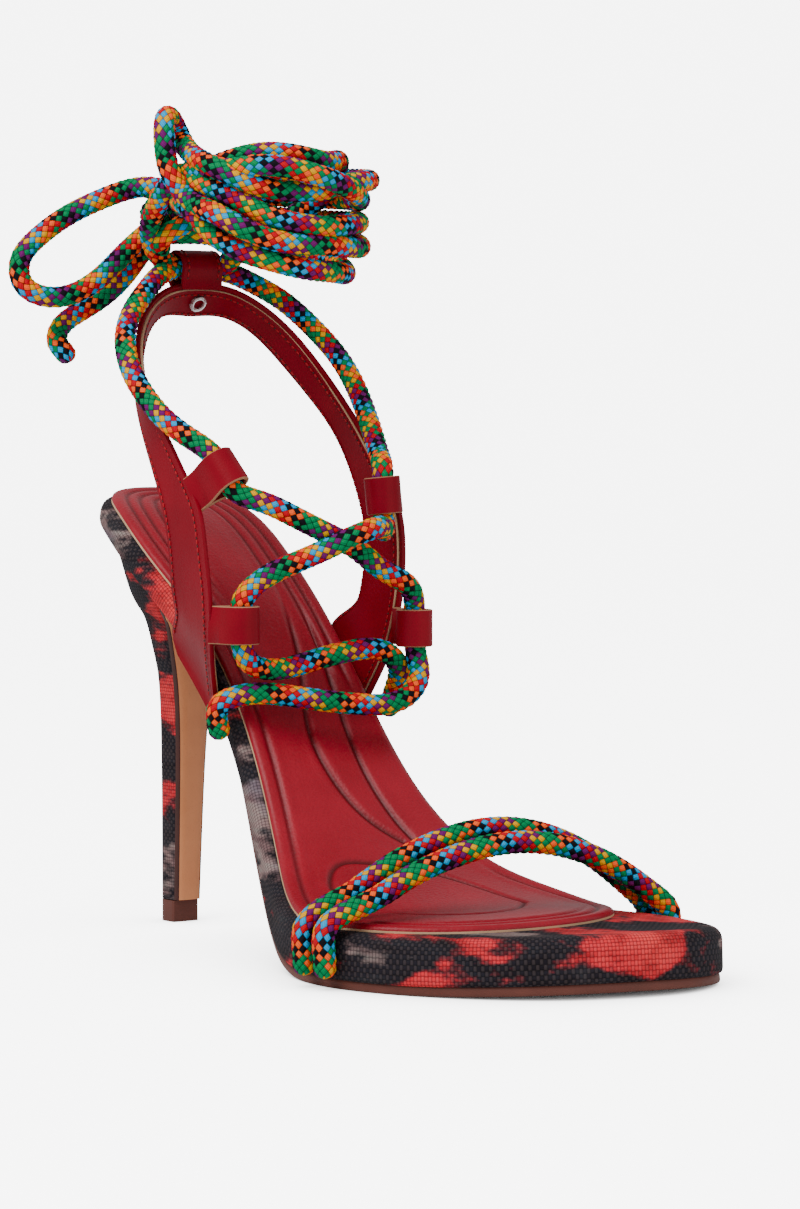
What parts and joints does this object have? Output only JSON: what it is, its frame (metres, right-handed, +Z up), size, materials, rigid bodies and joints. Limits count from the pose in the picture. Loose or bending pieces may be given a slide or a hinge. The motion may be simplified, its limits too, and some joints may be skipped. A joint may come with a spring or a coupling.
{
  "type": "stiletto sandal",
  "caption": "Right-foot women's stiletto sandal: fabric-wrapped platform sole and slim heel, red leather horseshoe quarter with rope loops, braided rope lacing and ankle tie.",
  "frame": {"origin": "middle of the sandal's footprint on the floor, measured without the loose tie", "axes": "+X towards the toe, +Y towards the wearer's left, +Z up"},
  "size_m": [0.2189, 0.1032, 0.2123],
  "materials": {
    "leather": "smooth deep red leather",
    "sock": "moulded red sock leather",
    "print": "coarse canvas in a dark mottled print",
    "tan": "smooth tan facing",
    "brown": "matt brown",
    "rope": "soft braid of many colours",
    "metal": "bright ring"
  },
  "bodies": {
    "root": {"platform": "print", "outsole": "brown", "insole_sock": "sock", "heel": "print", "heel_breast": "tan", "heel_tip": "brown", "quarter": "leather", "loop_near_upper": "leather", "loop_near_lower": "leather", "loop_far_upper": "leather", "loop_far_lower": "leather", "back_tab": "leather", "eyelet": "metal", "instep_lacing": "rope", "toe_rope_rear": "rope", "toe_rope_front": "rope", "tie_coil": "rope", "tie_knot": "rope", "tie_bow_loop": "rope", "tie_end": "rope"}
  },
  "joints": []
}
